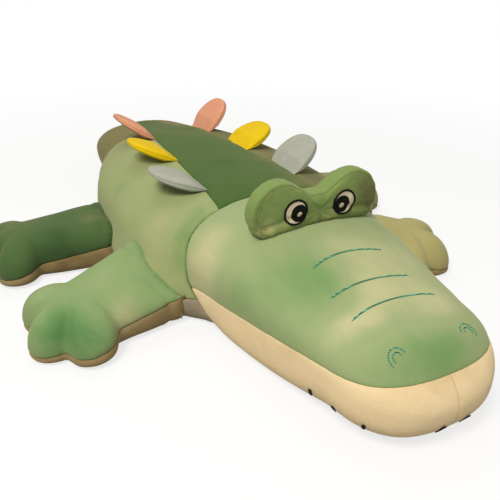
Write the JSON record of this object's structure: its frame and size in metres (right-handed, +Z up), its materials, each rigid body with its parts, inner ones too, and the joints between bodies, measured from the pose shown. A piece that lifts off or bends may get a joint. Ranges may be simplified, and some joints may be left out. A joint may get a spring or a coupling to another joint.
{
  "type": "plush crocodile",
  "caption": "Giant stuffed velour crocodile lying on its belly, with a padded head, eye mound, splayed legs, short tail and soft back spikes.",
  "frame": {"origin": "on the floor under the middle of the belly, on the belly panel's flat underside", "axes": "+Z up, the nose points along -Y and the tail along +Y, +X is on the toy's left-hand side"},
  "size_m": [0.8643, 1.3198, 0.2418],
  "materials": {
    "sage_pile": "sage green velour, short pile brushed light and dark",
    "forest_pile": "darker green velour on the back",
    "cream_pile": "cream velour on the jaw and soles",
    "belly_pile": "grey-beige velour under the belly",
    "fibre": "white polyester fibre filling, hidden",
    "grey_felt": "grey soft felt",
    "yellow_felt": "yellow soft felt",
    "pink_felt": "salmon pink soft felt",
    "black_thread": "black satin stitching",
    "eye_white_thread": "off-white satin stitching",
    "teal_thread": "dark teal embroidery thread"
  },
  "bodies": {
    "body": {"back_panel": "forest_pile", "belly_panel": "belly_pile", "body_stuffing": "fibre", "side_panel_left": "sage_pile", "side_panel_right": "sage_pile"},
    "head": {"eye_glint_left": "eye_white_thread", "eye_glint_right": "eye_white_thread", "eye_mound_back_panel": "sage_pile", "eye_mound_front_panel": "sage_pile", "eye_mound_gusset": "sage_pile", "eye_mound_stuffing": "fibre", "eye_ring_left": "black_thread", "eye_ring_right": "black_thread", "eye_white_left": "eye_white_thread", "eye_white_right": "eye_white_thread", "head_stuffing": "fibre", "head_top_panel": "sage_pile", "jaw_panel_left": "cream_pile", "jaw_panel_right": "cream_pile", "nostril_inner_left": "teal_thread", "nostril_inner_right": "teal_thread", "nostril_outer_left": "teal_thread", "nostril_outer_right": "teal_thread", "pupil_left": "black_thread", "pupil_right": "black_thread", "snout_line_front": "teal_thread", "snout_line_middle": "teal_thread", "snout_line_rear": "teal_thread", "tooth_stitch_left_1": "black_thread", "tooth_stitch_left_2": "black_thread", "tooth_stitch_left_3": "black_thread", "tooth_stitch_left_4": "black_thread", "tooth_stitch_right_1": "black_thread", "tooth_stitch_right_2": "black_thread", "tooth_stitch_right_3": "black_thread", "tooth_stitch_right_4": "black_thread"},
    "tail": {"tail_side_panel_left": "sage_pile", "tail_side_panel_right": "sage_pile", "tail_stuffing": "fibre", "tail_top_panel": "forest_pile", "tail_under_panel": "belly_pile"},
    "front_left_leg": {"front_left_leg_sole": "cream_pile", "front_left_leg_stuffing": "fibre", "front_left_leg_top_panel": "sage_pile"},
    "front_right_leg": {"front_right_leg_sole": "cream_pile", "front_right_leg_stuffing": "fibre", "front_right_leg_top_panel": "sage_pile"},
    "rear_left_leg": {"rear_left_leg_sole": "cream_pile", "rear_left_leg_stuffing": "fibre", "rear_left_leg_top_panel": "sage_pile"},
    "rear_right_leg": {"rear_right_leg_sole": "cream_pile", "rear_right_leg_stuffing": "fibre", "rear_right_leg_top_panel": "sage_pile"},
    "spike_grey_left": {"spike_grey_left": "grey_felt"},
    "spike_grey_right": {"spike_grey_right": "grey_felt"},
    "spike_yellow_left": {"spike_yellow_left": "yellow_felt"},
    "spike_yellow_right": {"spike_yellow_right": "yellow_felt"},
    "spike_pink_left": {"spike_pink_left": "pink_felt"},
    "spike_pink_right": {"spike_pink_right": "pink_felt"}
  },
  "joints": [
    {"name": "head_hinge", "type": "hinge", "parent": "body", "child": "head", "pos_m": [0, -0.19073, 0.182], "axis": [-1, 0, 0], "range_deg": [0, 15], "stiffness_Nm_per_rad": 1.5},
    {"name": "tail_hinge", "type": "hinge", "parent": "body", "child": "tail", "pos_m": [0, 0.31, 0.16562], "axis": [1, 0, 0], "range_deg": [0, 20], "stiffness_Nm_per_rad": 1},
    {"name": "front_left_leg_hinge", "type": "hinge", "parent": "body", "child": "front_left_leg", "pos_m": [-0.19227, -0.175, 0.1172], "axis": [-0.158, 0.9874, 0], "range_deg": [0, 30], "stiffness_Nm_per_rad": 0.6},
    {"name": "front_right_leg_hinge", "type": "hinge", "parent": "body", "child": "front_right_leg", "pos_m": [0.20784, -0.184, 0.088], "axis": [-0.158, -0.9874, 0], "range_deg": [0, 30], "stiffness_Nm_per_rad": 0.6},
    {"name": "rear_left_leg_hinge", "type": "hinge", "parent": "body", "child": "rear_left_leg", "pos_m": [-0.22138, 0.055, 0.088], "axis": [0, 1, 0], "range_deg": [0, 30], "stiffness_Nm_per_rad": 0.6},
    {"name": "rear_right_leg_hinge", "type": "hinge", "parent": "body", "child": "rear_right_leg", "pos_m": [0.22138, 0.055, 0.088], "axis": [0, -1, 0], "range_deg": [0, 30], "stiffness_Nm_per_rad": 0.6},
    {"name": "spike_grey_left_hinge", "type": "hinge", "parent": "body", "child": "spike_grey_left", "pos_m": [-0.08797, -0.093, 0.17152], "axis": [0, -1, 0], "range_deg": [-15, 10], "stiffness_Nm_per_rad": 0.15},
    {"name": "spike_grey_right_hinge", "type": "hinge", "parent": "body", "child": "spike_grey_right", "pos_m": [0.08797, -0.093, 0.17152], "axis": [0, 1, 0], "range_deg": [-15, 10], "stiffness_Nm_per_rad": 0.15},
    {"name": "spike_yellow_left_hinge", "type": "hinge", "parent": "body", "child": "spike_yellow_left", "pos_m": [-0.07447, 0.072, 0.17307], "axis": [0, -1, 0], "range_deg": [-15, 10], "stiffness_Nm_per_rad": 0.15},
    {"name": "spike_yellow_right_hinge", "type": "hinge", "parent": "body", "child": "spike_yellow_right", "pos_m": [0.07447, 0.072, 0.17307], "axis": [0, 1, 0], "range_deg": [-15, 10], "stiffness_Nm_per_rad": 0.15},
    {"name": "spike_pink_left_hinge", "type": "hinge", "parent": "body", "child": "spike_pink_left", "pos_m": [-0.0613, 0.233, 0.1693], "axis": [0, -1, 0], "range_deg": [-15, 10], "stiffness_Nm_per_rad": 0.15},
    {"name": "spike_pink_right_hinge", "type": "hinge", "parent": "body", "child": "spike_pink_right", "pos_m": [0.0613, 0.233, 0.1693], "axis": [0, 1, 0], "range_deg": [-15, 10], "stiffness_Nm_per_rad": 0.15}
  ]
}
